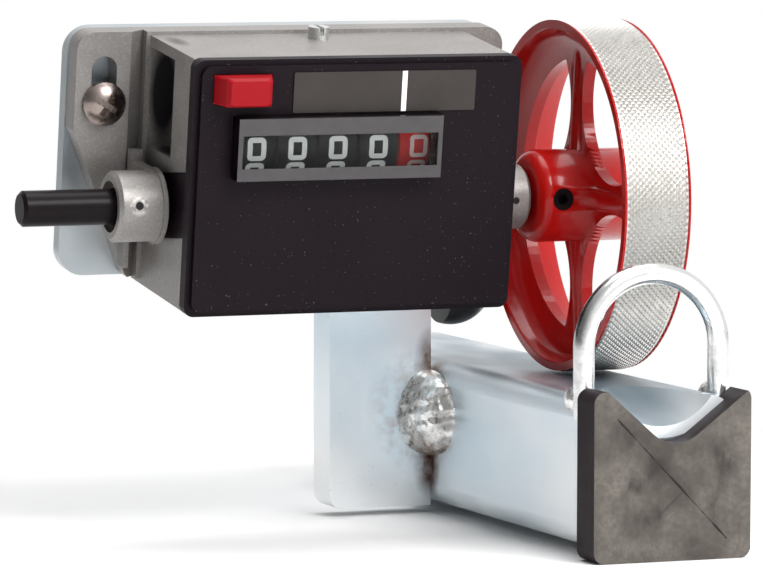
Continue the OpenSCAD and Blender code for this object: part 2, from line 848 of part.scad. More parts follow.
module number_axle() {
    color("silver") counter_place() rod_x(frame_x0, frame_x1, drum_axle_d / 2, drum_y, drum_z);
}

module tie_rod() {
    color("silver") counter_place() rod_x(frame_x0, frame_x1, tie_d / 2, tie_y, tie_z);
}

module idler_axle() {
    color("silver") counter_place()
        rod_x(gear_out_x - 0.6, frame_x1, idler_axle_d / 2, idler_y, idler_z);
}

function carrier_x(k) = drum_mid + (k - (drum_count - 2) / 2) * drum_pitch;

// Thin plates between the number wheels, each with a pin for its pinion
module carrier_plates() {
    color("gainsboro") counter_place()
    for (k = [0 : drum_count - 2]) {
        x = carrier_x(k);
        difference() {
            along_x(x - plate_gap_t / 2, x + plate_gap_t / 2) {
                translate([drum_y, drum_z]) circle(0.41 * drum_d);
                translate([tie_y, tie_z]) circle(3);
                polygon([[drum_y, drum_z + 5], [drum_y + 5, drum_z - 3], [tie_y + 1.5, tie_z - 2.6],
                         [tie_y - 1.5, tie_z + 2.6]]);
            }
            rod_x(x - 1, x + 1, drum_axle_d / 2 + seat, drum_y, drum_z);
            rod_x(x - 1, x + 1, tie_d / 2 + seat, tie_y, tie_z);
        }
        rod_x(x - plate_gap_t / 2 - 3.4, x, 0.9, drum_y, drum_z - pinion_r);
    }
}

// Carry pinion beside carrier plate k, in mesh with the ring of the wheel on its left
module carry_pinion(k) {
    x1 = carrier_x(k) - 0.5;
    color("gainsboro") counter_place()
    difference() {
        along_x(x1 - pinion_w, x1)
            translate([drum_y, drum_z - pinion_r]) rotate(-90) gear_outline(pinion_m, pinion_teeth);
        rod_x(x1 - pinion_w - 1, x1 + 1, 0.9 + run, drum_y, drum_z - pinion_r);
    }
}

module carry_pinion_1() { carry_pinion(0); }
module carry_pinion_2() { carry_pinion(1); }
module carry_pinion_3() { carry_pinion(2); }
module carry_pinion_4() { carry_pinion(3); }

// Number wheel: a cup open to the right, with a hub on the axle and a ring of teeth inside
module number_wheel(k, geared = true) {
    x = drum_mid + (k - (drum_count - 1) / 2) * drum_pitch;
    x0 = x - drum_w / 2;
    x1 = x + drum_w / 2;
    translate([0, drum_y, drum_z])
    difference() {
        rod_x(x0, x1, drum_d / 2);
        difference() {
            rod_x(x0 + 1.5, x1 + 1, drum_d / 2 - 1.6);
            rod_x(x0, x1 - 0.3, drum_axle_d / 2 + 1.6);
            if (geared)
                along_x(x1 - pinion_w, x1)
                    difference() {
                        circle(drum_d / 2);
                        rotate(-90)
                            gear_outline(pinion_m, ring_teeth, -0.1, 1.2, 0.4);
                    }
        }
        rod_x(x0 - 1, x1 + 1, drum_axle_d / 2 + run);
    }
}

module thousand_metre_wheel() { color("#222222") counter_place() number_wheel(0); }
module hundred_metre_wheel() { color("#222222") counter_place() number_wheel(1); }
module ten_metre_wheel() { color("#222222") counter_place() number_wheel(2); }
module metre_wheel() { color("#222222") counter_place() number_wheel(3); }

// First number wheel, closed on its right by the driven gear
module decimetre_wheel() {
    x1 = drum_mid + (drum_count - 1) / 2 * drum_pitch + drum_w / 2;
    to_idler = atan2(idler_z - drum_z, idler_y - drum_y);
    color("#b3231c") counter_place() {
        number_wheel(drum_count - 1, false);
        translate([0, drum_y, drum_z])
        difference() {
            union() {
                rod_x(x1 - 0.3, gear_out_x, drum_axle_d / 2 + 2.4);
                along_x(gear_out_x, gear_out_x + gear_w)
                    rotate(to_idler) gear_outline(gear_m, teeth_drum);
            }
            rod_x(x1 - 1, gear_out_x + gear_w + 1, drum_axle_d / 2 + run);
        }
    }
}

module idler_gear() {
    to_shaft = atan2(-idler_z, -idler_y);
    to_drum = atan2(drum_z - idler_z, drum_y - idler_y);
    color("gainsboro") counter_place() translate([0, idler_y, idler_z])
    difference() {
        union() {
            along_x(gear_out_x, gear_out_x + gear_w)
                rotate(to_drum + 180 / teeth_idler_out) gear_outline(gear_m, teeth_idler_out);
            rod_x(gear_out_x + gear_w, gear_in_x, 3.2);
            along_x(gear_in_x, gear_in_x + gear_w)
                rotate(to_shaft + 180 / teeth_idler_in) gear_outline(gear_m, teeth_idler_in);
        }
        rod_x(gear_out_x - 1, gear_in_x + gear_w + 1, idler_axle_d / 2 + run);
    }
}

module shaft_gear() {
    color("gainsboro") counter_place()
    difference() {
        along_x(gear_in_x, gear_in_x + gear_w)
            rotate(atan2(idler_z, idler_y)) gear_outline(gear_m, teeth_shaft);
        rod_x(gear_in_x - 1, gear_in_x + gear_w + 1, journal_d / 2 + seat);
    }
}

// ---------- drive ----------

module drive_shaft() {
    r = shaft_d / 2;
    end = wheel_x + wheel_w / 2 - 0.4;
    color("#2b2b2d") counter_place() {
        translate([shaft_end, 0, 0]) rotate([0, 90, 0]) cylinder(h = 0.9, r1 = r - 0.9, r2 = r);
        rod_x(shaft_end + 0.9, boss_left_end, r);
        rod_x(boss_left_end, end, journal_d / 2);
    }
}

// Window between two spokes, which leaves each spoke with a waist
module spoke_window() {
    intersection() {
        translate([spoke_waist_r, spoke_waist_r]) circle(spoke_waist_r - spoke_w / 2);
        circle(ring_d / 2);
    }
}

// Cast wheel: thin rim, web with four windows, a tapering rib on each spoke, hub with a nose
module measuring_wheel() {
    rr = wheel_d / 2 - tread_t;
    flank = wheel_d / 2 - 0.35;
    h = wheel_w / 2;
    lip = 0.6;
    in = ring_d / 2;
    web = spoke_t / 2;
    off = -1.2;
    root = hub_d / 2 - 2;
    thin = wheel_d / 2 - rim_face;
    color("#b3231c") counter_place() translate([wheel_x, 0, 0])
    difference() {
        union() {
            difference() {
                rotate([0, 90, 0]) rotate_extrude($fn = 120)
                    polygon([[0, off - web], [in, off - web], [in + 3, off - web - 0.8],
                             [thin - 1.4, off - web - 2], [thin, off - web - 4], [thin + 0.4, -h + 0.5],
                             [thin + 0.9, -h], [flank, -h], [flank, -h + lip], [rr, -h + lip],
                             [rr, h - lip], [flank, h - lip], [flank, h], [thin + 1.4, h],
                             [thin + 0.9, h - 0.5], [thin, off + web + 4], [thin - 1.4, off + web + 2],
                             [in + 3, off + web + 0.8], [in, off + web], [0, off + web]]);
                rotate([-lean, 0, 0]) along_x(-h, h)
                    for (k = [0 : spokes - 1]) rotate(360 / spokes * k) spoke_window();
            }
            for (k = [0 : spokes - 1]) rotate([360 / spokes * k - lean, 0, 0])
                translate([off, 0, root])
                    cylinder(h = in + 4 - root, r1 = 0.28 * hub_d / 2, r2 = 0.16 * hub_d / 2);
            rotate([0, 90, 0]) rotate_extrude($fn = 72) {
                translate([0, hub_r - hub_left]) square([hub_d / 2, h + hub_left - hub_r]);
                translate([0, -hub_left]) square([hub_d / 2 - hub_r, 2 * hub_r]);
                translate([hub_d / 2 - hub_r, hub_r - hub_left]) circle(hub_r, $fn = 24);
            }
        }
        rod_x(-hub_left - 20, h + 1, journal_d / 2 + seat);
        rotate([-grub_angle, 0, 0]) rod_y(-hub_d, 0, grub_d / 2 + seat, grub_x - wheel_x, 0);
    }
}

module knurled_tread() {
    r = wheel_d / 2;
    h = wheel_w / 2 - 0.62;
    c = 0.35;
    color("silver") counter_place() translate([wheel_x, 0, 0]) rotate([0, 90, 0])
    rotate_extrude($fn = 180)
        polygon([[r - tread_t + seat, -h], [r - c, -h], [r, -h + c], [r, h - c], [r - c, h],
                 [r - tread_t + seat, h]]);
}

module hub_grub_screw() {
    color("#1c1c1e") counter_place() translate([grub_x, 0, 0])
    rotate([-grub_angle, 0, 0])
    difference() {
        rod_y(-hub_d / 2 + 0.4, -journal_d / 2 - lap, grub_d / 2);
        translate([0, -hub_d / 2 + 3.4, 0]) rotate([90, 0, 0]) cylinder(h = 6, d = grub_d / 2, $fn = 6);
    }
}

// ---------- reset ----------

module reset_button() {
    foot = [button_w + 2 * button_draft, button_h];
    color("#c4161c") counter_place() translate([button_mid, 0, button_z]) {
        hull() {
            along_y(cover_y - button_out, cover_y - button_out + 0.8)
                round_rect([-button_w / 2 + 0.6, -button_h / 2 + 0.6],
                           [button_w / 2 - 0.6, button_h / 2 - 0.6], 1, $fn = 24);
            along_y(cover_y - button_out + 1.2, cover_y - button_out + 1.6)
                round_rect([-button_w / 2 - 0.4, -button_h / 2], [button_w / 2 + 0.4, button_h / 2],
                           1, $fn = 24);
            along_y(cover_y - 0.2, cover_y)
                round_rect([-foot[0] / 2, -foot[1] / 2], foot / 2, 1, $fn = 24);
        }
        along_y(cover_y, cover_back + 0.6)
            translate([-foot[0] / 2, -foot[1] / 2]) square(foot);
        along_y(cover_back + 0.6, comb_back - comb_t) translate([-4, -2]) square([8, 3.4]);
    }
}

// Comb that the button drives back over the number wheels
module reset_comb() {
    front = comb_back - comb_t;
    last = drum_mid + (drum_count - 1) / 2 * drum_pitch;
    color("silver") counter_place() {
        block([button_mid - 4, last + 3], [front, comb_back], [button_z - 2, button_z + 1.4]);
        for (k = [0 : drum_count - 1])
            block(span(last - k * drum_pitch, 1.5), [front, comb_back],
                  [drum_z + drum_d / 2 + 0.5, button_z - 2]);
    }
}

upright_bar();
cross_tube();
frame_weld();
front_end_cap();
cable_bow();
bow_welds();
mounting_plate();
hinge_bracket();
pivot_bolt();
pivot_washers();
pivot_knob();
counter_body();
front_cover();
counter_window();
label_strip();
foot_screws();
foot_nuts();
shaft_bushes();
frame_screw();
mechanism_frame();
number_axle();
carrier_plates();
tie_rod();
idler_axle();
drive_shaft();
measuring_wheel();
knurled_tread();
hub_grub_screw();
shaft_gear();
idler_gear();
carry_pinion_1();
carry_pinion_2();
carry_pinion_3();
carry_pinion_4();
decimetre_wheel();
metre_wheel();
ten_metre_wheel();
hundred_metre_wheel();
thousand_metre_wheel();
reset_button();
reset_comb();
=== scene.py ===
import math

import bmesh
import bpy
from mathutils import Matrix, Vector, noise

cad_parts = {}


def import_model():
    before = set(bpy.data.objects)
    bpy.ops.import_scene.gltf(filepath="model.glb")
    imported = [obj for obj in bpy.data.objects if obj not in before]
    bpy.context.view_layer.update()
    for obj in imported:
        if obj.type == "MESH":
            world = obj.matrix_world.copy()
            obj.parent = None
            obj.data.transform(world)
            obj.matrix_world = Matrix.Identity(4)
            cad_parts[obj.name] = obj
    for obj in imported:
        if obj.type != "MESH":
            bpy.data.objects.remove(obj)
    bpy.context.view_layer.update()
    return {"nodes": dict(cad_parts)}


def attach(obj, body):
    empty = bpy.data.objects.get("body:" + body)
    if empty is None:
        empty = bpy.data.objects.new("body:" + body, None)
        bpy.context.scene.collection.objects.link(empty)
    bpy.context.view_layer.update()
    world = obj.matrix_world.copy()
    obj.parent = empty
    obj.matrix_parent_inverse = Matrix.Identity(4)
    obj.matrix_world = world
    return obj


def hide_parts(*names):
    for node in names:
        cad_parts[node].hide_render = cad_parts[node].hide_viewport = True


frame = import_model()


# ---------- sizes, in mm ----------

# The counter's points have their origin on the wheel's axle and lean back with it.
MM = 0.001
LEAN = math.radians(8.3)
AXLE_Z = 88.05
WHEEL_R = 47.75
WHEEL_X = (-0.78, 16.98)
KNURL_DEEP = 0.55
DRUM_Y, DRUM_Z, DRUM_R = -8.3, 18.5, 11.0
DRUM_MID, DRUM_PITCH = -72.4, 11.36
DRUM_X = [DRUM_MID + DRUM_PITCH * k for k in (-2, -1, 0, 1, 2)]
COVER_Y = -23.8
WINDOW_Y = COVER_Y - 4.42
WINDOW_OUT = ((-103.55, 11.9), (-46.65, 28.35))
WINDOW_CLEAR = ((-102.3, 15.2), (-47.9, 23.9))
LABEL_Y = COVER_Y - 0.43
LABEL_BAR = ((-57.3, 28.97), (-55.9, 39.63))
BOSS_R = 9.4
LEFT_OIL_X = -123.0
CAP_FRONT_Y = -75.0

# The corner of upright and tube that the weld fills, and the weld's middle and half height.
CORNER_X, CORNER_Y = -20, 41.5
WELD_Z, WELD_HALF = 25.8, 11.8

# Just under the lowest point of the object.
FLOOR_Z = -2.35

# ---------- helpers ----------


def head(x, y, z):
    """A point of the leaning counter, in mm, as a point of the row frame, in metres."""
    c, s = math.cos(LEAN), math.sin(LEAN)
    return Vector((x * MM, (y * c - z * s) * MM, (y * s + z * c + AXLE_Z) * MM))


def world(x, y, z):
    return Vector((x * MM, y * MM, z * MM))


def make(name, verts, faces, body, material, smooth=False):
    mesh = bpy.data.meshes.new(name)
    mesh.from_pydata(verts, [], faces)
    mesh.validate()
    obj = bpy.data.objects.new(name, mesh)
    bpy.context.scene.collection.objects.link(obj)
    obj.data.materials.append(material)
    if smooth:
        mesh.polygons.foreach_set("use_smooth", [True] * len(mesh.polygons))
    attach(obj, body)
    return obj


class Tree:
    """A node tree that is built node by node."""

    def __init__(self, tree):
        self.t = tree

    def node(self, kind, **values):
        n = self.t.nodes.new(kind)
        for k, v in values.items():
            setattr(n, k, v)
        return n

    def link(self, a, b):
        self.t.links.new(a, b)

    def put(self, sock, value):
        """Link a socket to another one, or set its value."""
        if hasattr(value, "is_linked"):
            self.link(value, sock)
        elif value is not None:
            sock.default_value = value

    def math(self, op, a, b=None, clamp=False):
        n = self.node("ShaderNodeMath", operation=op, use_clamp=clamp)
        self.put(n.inputs[0], a)
        self.put(n.inputs[1], b)
        return n.outputs["Value"]

    def vector(self, op, a, b):
        n = self.node("ShaderNodeVectorMath", operation=op)
        self.put(n.inputs[0], a)
        self.put(n.inputs[1], b)
        return n.outputs["Value" if op in ("LENGTH", "DISTANCE", "DOT_PRODUCT") else "Vector"]

    def remap(self, value, source, target, kind="LINEAR"):
        n = self.node("ShaderNodeMapRange", interpolation_type=kind)
        self.link(value, n.inputs["Value"])
        n.inputs["From Min"].default_value, n.inputs["From Max"].default_value = source
        n.inputs["To Min"].default_value, n.inputs["To Max"].default_value = target
        return n.outputs["Result"]

    def coords(self, which):
        return self.node("ShaderNodeTexCoord").outputs[which]

    def axis(self, vector, which):
        n = self.node("ShaderNodeSeparateXYZ")
        self.link(vector, n.inputs["Vector"])
        return n.outputs[which]


class Mat(Tree):
    """A Principled material, placed by the points of the row frame."""

    def __init__(self, name, rough=0.5, metal=0.0, coat=0.0, gloss=0.5):
        self.m = bpy.data.materials.new(name)
        self.m.use_nodes = True
        super().__init__(self.m.node_tree)
        self.p = next(n for n in self.t.nodes if n.type == "BSDF_PRINCIPLED")
        self.p.inputs["Roughness"].default_value = rough
        self.p.inputs["Metallic"].default_value = metal
        self.p.inputs["Coat Weight"].default_value = coat
        self.p.inputs["Specular IOR Level"].default_value = gloss
        self.pos = self.coords("Object")
        self.bumps = None

    def noise(self, scale, detail=3, rough=0.55, stretch=None):
        n = self.node("ShaderNodeTexNoise")
        n.inputs["Scale"].default_value = scale
        n.inputs["Detail"].default_value = detail
        n.inputs["Roughness"].default_value = rough
        source = self.pos
        if stretch:
            m = self.node("ShaderNodeMapping")
            m.inputs["Scale"].default_value = stretch
            self.link(self.pos, m.inputs["Vector"])
            source = m.outputs["Vector"]
        self.link(source, n.inputs["Vector"])
        return n.outputs["Fac"]

    def ramp(self, fac, stops):
        r = self.node("ShaderNodeValToRGB")
        e = r.color_ramp.elements
        while len(e) < len(stops):
            e.new(0.5)
        for i, (at, c) in enumerate(stops):
            e[i].position = at
            e[i].color = (*c, 1) if isinstance(c, (tuple, list)) else (c, c, c, 1)
        self.link(fac, r.inputs["Fac"])
        return r.outputs["Color"]

    def mix(self, fac, a, b, blend="MIX"):
        n = self.node("ShaderNodeMix", data_type="RGBA", blend_type=blend)
        for name, value in (("Factor", fac), ("A", a), ("B", b)):
            self.put(n.inputs[name], (*value, 1) if isinstance(value, (tuple, list)) else value)
        return n.outputs["Result"]

    def band(self, value, inner, outer, top=1.0):
        """The top value up to inner, falling to 0 at outer."""
        return self.remap(value, (inner, outer), (top, 0))

    def near(self, point, radius, scale=(1, 1, 1), inner=0.0):
        """1 at a point of the row frame, falling to 0 at the radius."""
        away = self.vector("MULTIPLY", self.vector("SUBTRACT", self.pos, point), scale)
        return self.band(self.vector("LENGTH", away, None), inner * radius, radius)

    def stroke(self, p, q):
        """Distance from a stretch between two points (x, z), looked at along Y."""
        p, q = Vector((p[0] * MM, 0, p[1] * MM)), Vector((q[0] * MM, 0, q[1] * MM))
        d = q - p
        flat = self.vector("MULTIPLY", self.vector("SUBTRACT", self.pos, p), (1, 0, 1))
        t = self.math("MULTIPLY", self.vector("DOT_PRODUCT", flat, d / d.length_squared), 1.0, True)
        n = self.node("ShaderNodeVectorMath", operation="SCALE")
        n.inputs[0].default_value = d
        self.link(t, n.inputs["Scale"])
        return self.vector("LENGTH", self.vector("SUBTRACT", flat, n.outputs["Vector"]), None)

    def color(self, value):
        self.put(self.p.inputs["Base Color"], value)
        return self

    def rough(self, value):
        self.link(value, self.p.inputs["Roughness"])
        return self

    def bump(self, height, strength=0.3, distance=0.0003):
        b = self.node("ShaderNodeBump")
        b.inputs["Strength"].default_value = strength
        b.inputs["Distance"].default_value = distance
        self.link(height, b.inputs["Height"])
        if self.bumps:
            self.link(self.bumps, b.inputs["Normal"])
        self.bumps = b.outputs["Normal"]
        self.link(self.bumps, self.p.inputs["Normal"])
        return self


# ---------- materials ----------


def zinc(name, weld_at=None, shade_tone=1.0, top_reflection=False):
    """Zinc plated mild steel: pale, bluish, with soft drawn streaks; burnt beside a weld.
    Where asked, the faces that look up are darkened in bluish patches: a painted reflection of the dark parts
    that stand above them.
    """
    m = Mat(name, metal=0.6)
    cloud = m.noise(16, 3, stretch=(1, 0.5, 1))
    streak = m.noise(70, 2, stretch=(1, 0.10, 0.5))
    base = m.mix(m.ramp(cloud, [(0.38, 0), (0.62, 1)]), (0.68, 0.79, 0.86), (0.95, 0.97, 0.98))
    base = m.mix(m.ramp(streak, [(0.4, 0), (0.75, 0.5)]), base, (0.98, 0.99, 1.0))
    speck = m.ramp(m.noise(900, 2), [(0.68, 0), (0.75, 1)])
    base = m.mix(m.math("MULTIPLY", speck, 0.25), base, (0.40, 0.42, 0.43))
    # Painted shade: a factor below 1 darkens the whole part, for a face that reflects the shaded floor.
    base = m.mix(1.0, base, (shade_tone, shade_tone, shade_tone), "MULTIPLY")
    if top_reflection:
        # Painted reflection: faces that look up are darkened in patches for the dark parts above.
        top = m.math("SUBTRACT", 1.0, m.band(m.axis(m.coords("Normal"), "Z"), 0.6, 0.95))
        reflection_patch = m.ramp(m.noise(38, 2, stretch=(1, 0.45, 1)), [(0.34, 0.95), (0.62, 0.45)])
        base = m.mix(m.math("MULTIPLY", top, reflection_patch), base, (0.15, 0.21, 0.26))
    if weld_at:
        rough = m.noise(330, 3)
        halo = m.math("MULTIPLY", m.near(weld_at, 0.019, inner=0.4), m.ramp(rough, [(0.42, 0), (0.7, 0.8)]))
        base = m.mix(halo, base, (0.42, 0.34, 0.29))
        for z, tall, dark in ((10.5, 0.55, (0.09, 0.035, 0.022)), (38.5, 0.45, (0.16, 0.09, 0.05))):
            burn = m.near(world(CORNER_X - 0.2, CORNER_Y - 0.2, z), 0.0052, (1, 0.8, tall), 0.35)
            burn = m.math("MULTIPLY", burn, m.ramp(rough, [(0.25, 0.6), (0.55, 1)]))
            base = m.mix(burn, base, dark)
    m.color(base)
    m.rough(m.ramp(cloud, [(0.3, 0.26), (0.7, 0.42)]))
    m.bump(m.noise(60, 2), 0.10, 0.0006)
    m.bump(m.noise(700, 3), 0.10, 0.0002)
    return m.m


def bright(name, tint=(0.80, 0.81, 0.80), rough=0.28, recess_shade=None):
    m = Mat(name, metal=1.0)
    n = m.noise(420, 3)
    base = m.mix(n, tint, tuple(0.72 * c for c in tint))
    if recess_shade:
        # Painted shade: a dark spot in the hollow of the screw's cross.
        base = m.mix(m.near(recess_shade, 3 * MM, inner=0.85), base, (0.03, 0.02, 0.018))
    m.color(base)
    m.rough(m.ramp(n, [(0.3, rough - 0.06), (0.75, rough + 0.12)]))
    m.bump(m.noise(900, 2), 0.08, 0.0001)
    return m.m


def cast():
    """Grey-brown die casting; painted shade darkens the pocket in its side and marks an oil hole in each
    boss, with a painted highlight round the left hole.
    """
    m = Mat("die_cast_grey", metal=0.55)
    fine = m.noise(1500, 4, 0.7)
    broad = m.noise(60, 3)
    base = m.mix(broad, (0.175, 0.163, 0.155), (0.335, 0.318, 0.305))
    base = m.mix(m.ramp(fine, [(0.5, 0), (0.72, 0.6)]), base, (0.44, 0.42, 0.40))
    left = world(LEFT_OIL_X, -BOSS_R, AXLE_Z + 0.07 * BOSS_R)
    right = world(-16, -8.6, 87.5)
    # Painted highlight: a bright ring round the left oil hole.
    broken_highlight = m.ramp(m.noise(900, 2), [(0.42, 0), (0.6, 0.9)])
    rim_highlight = m.math("MULTIPLY", m.near(left, 3 * MM, (1, 0.5, 1), 0.6), broken_highlight)
    base = m.mix(rim_highlight, base, (0.60, 0.58, 0.55))
    # Painted shade: a dark spot for the inside of each oil hole.
    for at, wide in ((left, 1.3), (right, 1.1)):
        base = m.mix(m.near(at, wide * MM, (1, 0.5, 1), 0.75), base, (0.012, 0.010, 0.010))
    # Painted shade: the deep pocket in the side is darkened nearly to black.
    recess_shade_size = (5.8, 14, 19)
    recess_shade = m.near(world(-109, 2.1, 114.8), 1.0, [1 / (v * MM) for v in recess_shade_size], 0.8)
    base = m.mix(recess_shade, base, (0.02, 0.017, 0.02))
    m.color(base)
    m.rough(m.ramp(broad, [(0.3, 0.36), (0.7, 0.52)]))
    m.bump(fine, 0.30, 0.0002)
    return m.m


def cover():
    """Black moulding with a faint sheen, and dust in its grain."""
    m = Mat("cover_black", gloss=0.10)
    grain = m.noise(2600, 2)
    broad = m.noise(35, 3)
    base = m.mix(broad, (0.005, 0.0025, 0.0045), (0.010, 0.0055, 0.0085))
    dust = m.ramp(m.noise(1900, 1), [(0.74, 0), (0.78, 1)])
    m.color(m.mix(m.math("MULTIPLY", dust, 0.5), base, (0.22, 0.20, 0.20)))
    m.rough(m.ramp(broad, [(0.3, 0.38), (0.7, 0.50)]))
    m.bump(grain, 0.10, 0.0001)
    return m.m


def enamel(name, deep, pale, rough=0.22, coat=0.3, gloss=0.3):
    m = Mat(name, rough, coat=coat, gloss=gloss)
    broad = m.noise(60, 3)
    m.color(m.mix(broad, deep, pale))
    m.rough(m.ramp(broad, [(0.3, rough - 0.05), (0.7, rough + 0.1)]))
    m.bump(m.noise(330, 3), 0.12, 0.0004)
    return m.m


def scuffed():
    """Moulded cap: grey-brown scuffed face with dark smears and a scored line, darker sides."""
    m = Mat("cap_scuffed", rough=0.62, gloss=0.15)
    broad = m.noise(70, 4, 0.6)
    grain = m.noise(900, 3)
    base = m.mix(m.ramp(broad, [(0.35, 0), (0.68, 1)]), (0.085, 0.075, 0.066), (0.225, 0.204, 0.180))
    base = m.mix(m.ramp(grain, [(0.35, 0.45), (0.6, 0)]), base, (0.09, 0.08, 0.07))
    wipe = m.noise(130, 3, stretch=(1.6, 1, 0.5))
    for p, q, wide, dark in (((-14, 31), (-2, 21), 0.0042, 0.8), ((-10, 17), (-4, 23), 0.0022, 0.9),
                             ((-14, 15), (-10, 21), 0.0018, 0.8), ((-13, 7), (-4, 10), 0.0040, 0.8),
                             ((11, 27), (16, 22), 0.0045, 0.8), ((12, 9), (17, 5), 0.0040, 0.8),
                             ((12, 12), (15, 28), 0.0030, 0.6)):
        smear = m.math("MULTIPLY", m.band(m.stroke(p, q), 0.0002, wide, dark),
                       m.ramp(wipe, [(0.38, 0), (0.62, 1)]))
        base = m.mix(smear, base, (0.045, 0.039, 0.036))
    wave = m.math("MULTIPLY", m.noise(190, 2), 0.0009)
    cut = m.band(m.math("ADD", m.stroke((-15.7, 35.1), (15.3, 3.1)), wave), 0.00048, 0.00075)
    fold = m.band(m.math("ADD", m.stroke((3.1, 16.1), (-4.2, 9.2)), wave), 0.0004, 0.0009, 0.6)
    base = m.mix(cut, base, (0.018, 0.015, 0.015))
    base = m.mix(fold, base, (0.05, 0.045, 0.04))
    side = m.band(m.axis(m.pos, "Y"), (CAP_FRONT_Y - 0.05) * MM, (CAP_FRONT_Y + 0.15) * MM)
    base = m.mix(side, m.mix(broad, (0.010, 0.006, 0.008), (0.030, 0.022, 0.025)), base)
    m.color(base)
    m.rough(m.ramp(broad, [(0.3, 0.50), (0.7, 0.72)]))
    m.bump(m.noise(420, 4, 0.6), 0.30, 0.0004)
    m.bump(m.math("MULTIPLY", cut, -1.0), 0.5, 0.0004)
    return m.m


def plastic(name, a, b, rough=0.35, scale=120, gloss=0.2):
    m = Mat(name, rough, gloss=gloss)
    m.color(m.mix(m.noise(scale, 3), a, b))
    m.bump(m.noise(1500, 2), 0.05, 0.0001)
    return m.m


def window():
    """Clear moulding over the figures."""
    m = Mat("window_clear", 0.08)
    m.color(m.mix(m.noise(150, 2), (0.93, 0.95, 0.95), (0.98, 0.99, 0.99)))
    m.p.inputs["Transmission Weight"].default_value = 1.0
    m.p.inputs["IOR"].default_value = 1.15
    m.rough(m.ramp(m.noise(240, 2), [(0.3, 0.03), (0.7, 0.09)]))
    return m.m


def weld():
    """Bright bead with dark pits and spatter."""
    m = Mat("weld_bead", metal=0.75)
    broad = m.noise(120, 3)
    pits = m.noise(650, 3, 0.6)
    base = m.mix(m.ramp(broad, [(0.40, 0), (0.56, 1)]), (0.52, 0.52, 0.50), (0.93, 0.94, 0.93))
    dark = m.math("MULTIPLY", m.ramp(pits, [(0.55, 0), (0.62, 1)]), m.ramp(broad, [(0.42, 0.8), (0.60, 0.1)]))
    base = m.mix(dark, base, (0.16, 0.12, 0.09))
    low = m.near(world(-20.5, 36, 13), 11 * MM, (1, 0.6, 0.8), 0.3)
    base = m.mix(m.math("MULTIPLY", low, m.ramp(pits, [(0.35, 0.2), (0.6, 0.9)])), base, (0.22, 0.12, 0.07))
    m.color(base)
    m.rough(m.ramp(broad, [(0.35, 0.42), (0.6, 0.22)]))
    m.bump(m.noise(260, 3), 0.45, 0.0006)
    m.bump(pits, 0.35, 0.0003)
    return m.m


WELD_AT = world(-21, 41.5, 26.4)
SCREW_CROSS = world(-125.6, -9.8, 114.4)
looks = {
    "upright_bar": zinc("zinc_upright", WELD_AT),
    # The tube's top carries a painted reflection of the counter above it.
    "cross_tube": zinc("zinc_tube", WELD_AT, top_reflection=True),
    # The plate's zinc is darkened to half as painted shade.
    "mounting_plate": zinc("zinc_plate", shade_tone=0.50),
    "hinge_bracket": zinc("zinc_bracket"),
    "weld": weld(),
    "cap": scuffed(),
    "cast": cast(),
    "cover": cover(),
    "border": plastic("window_border", (0.054, 0.051, 0.053), (0.082, 0.077, 0.080), 0.45, 260),
    "wheel": enamel("enamel_red", (0.34, 0.003, 0.003), (0.46, 0.007, 0.005), 0.16, 0.15, 0.2),
    "button": enamel("button_red", (0.27, 0.005, 0.010), (0.32, 0.008, 0.012), 0.35, 0.0, 0.1),
    "knob": plastic("knob_black", (0.012, 0.012, 0.013), (0.03, 0.03, 0.032), 0.3),
    "black_steel": plastic("oxide_black", (0.004, 0.003, 0.0035), (0.012, 0.009, 0.010), 0.30, gloss=0.08),
    "drum_black": plastic("drum_black", (0.008, 0.008, 0.008), (0.02, 0.02, 0.02), 0.45),
    "drum_red": plastic("drum_red", (0.50, 0.010, 0.012), (0.66, 0.02, 0.02), 0.45),
    "label": plastic("label_film", (0.030, 0.025, 0.022), (0.048, 0.041, 0.037), 0.4),
    "white": plastic("print_white", (0.90, 0.92, 0.91), (0.95, 0.96, 0.95), 0.5),
    "pink": plastic("print_pink", (0.85, 0.62, 0.60), (0.92, 0.72, 0.70), 0.5),
    "window": window(),
    "bright": bright("zinc_bright"),
    "bow": bright("bow_wire", (0.86, 0.87, 0.86), 0.2),
    "tread": bright("knurl_metal", (0.70, 0.68, 0.65), 0.34),
    "nickel": bright("screw_nickel", (0.34, 0.28, 0.255), 0.25, SCREW_CROSS),
    "bronze": bright("bush_bronze", (0.62, 0.45, 0.24), 0.4),
}
look_of = {
    "upright_bar": "upright_bar", "cross_tube": "cross_tube",
    "mounting_plate": "mounting_plate", "hinge_bracket": "hinge_bracket",
    "frame_weld": "weld", "bow_welds": "weld", "front_end_cap": "cap", "cable_bow": "bow",
    "pivot_knob": "knob", "counter_body": "cast", "front_cover": "cover",
    "counter_window": "window", "label_strip": "label", "shaft_bushes": "bronze",
    "drive_shaft": "black_steel", "measuring_wheel": "wheel", "knurled_tread": "tread",
    "hub_grub_screw": "black_steel", "decimetre_wheel": "drum_red", "metre_wheel": "drum_black",
    "ten_metre_wheel": "drum_black", "hundred_metre_wheel": "drum_black",
    "thousand_metre_wheel": "drum_black", "reset_button": "button", "foot_screws": "nickel",
}
for name, obj in frame["nodes"].items():
    obj.data.materials.clear()
    obj.data.materials.append(looks[look_of.get(name, "bright")])

# ---------- knurled tread ----------


